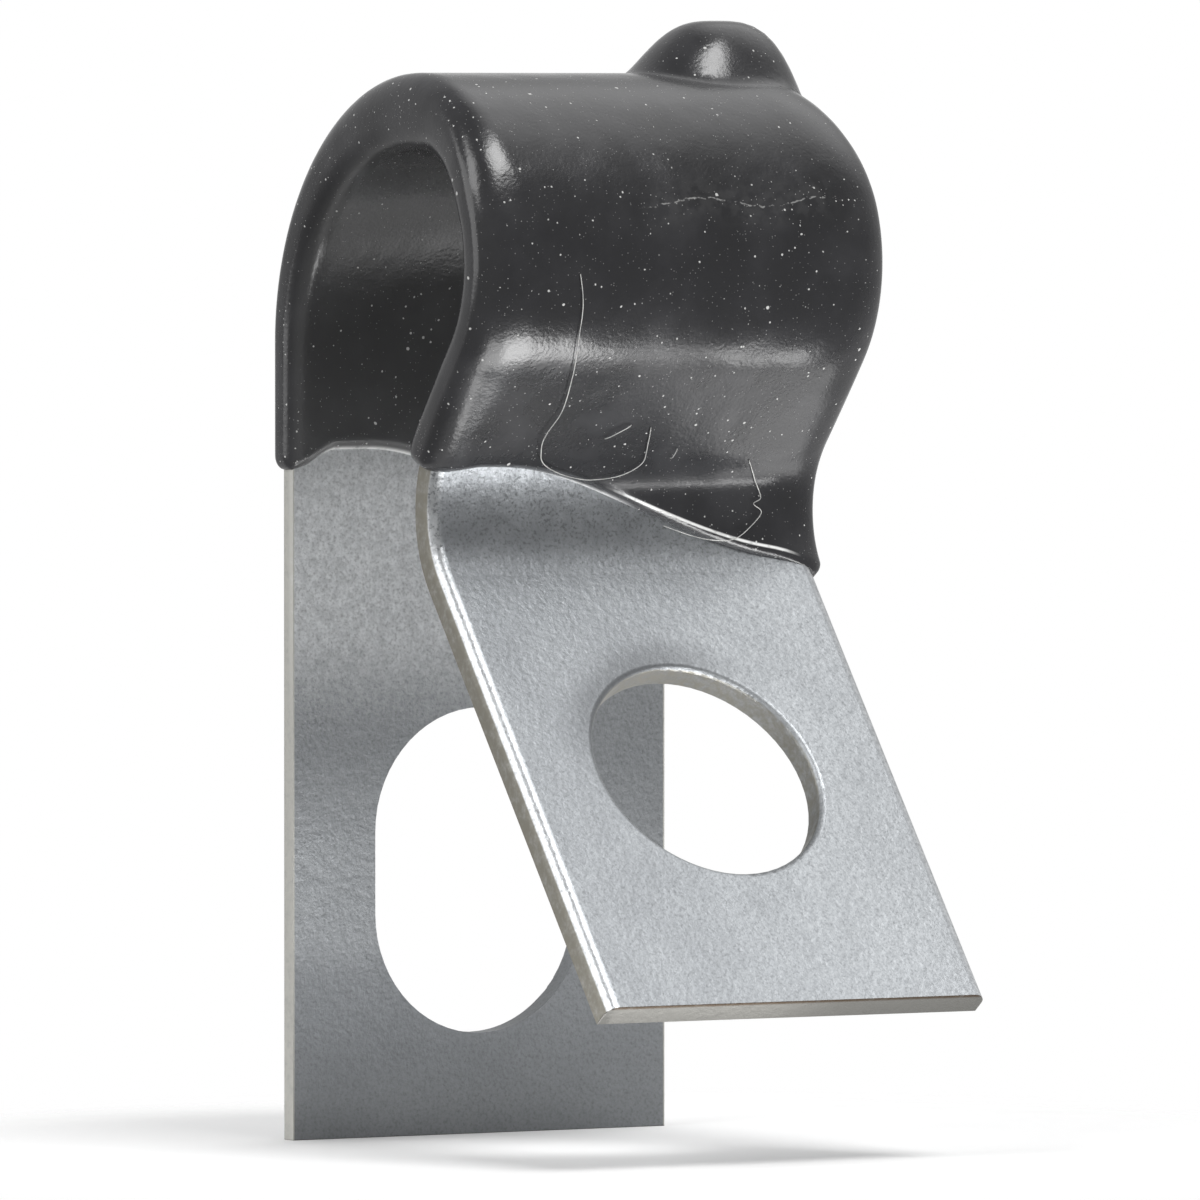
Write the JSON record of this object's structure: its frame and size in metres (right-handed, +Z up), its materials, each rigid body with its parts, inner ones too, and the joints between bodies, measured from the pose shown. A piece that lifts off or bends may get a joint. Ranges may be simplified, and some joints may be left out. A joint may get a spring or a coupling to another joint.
{
  "type": "pvc coated cable clamp",
  "caption": "Bent steel strip clamp with a black PVC dip coat on its loop, a slotted back leg and a splayed, drilled front leg; bolts up round a cable.",
  "frame": {"origin": "middle of the back leg's slot, on the leg's rear face, which lies against the surface the clamp is bolted to", "axes": "+Y out of the rear face, along the bolt and into that surface; +Z up the back leg towards the loop; X along the cable"},
  "size_m": [0.0138, 0.0184, 0.0325],
  "materials": {
    "steel": "matte galvanised zinc with fine dark speckle, bright on the rolled edges",
    "pvc": "black plastisol dip coat, semi-gloss, dusty"
  },
  "bodies": {
    "root": {"steel_strap": "steel", "pvc_coating": "pvc"}
  },
  "joints": []
}
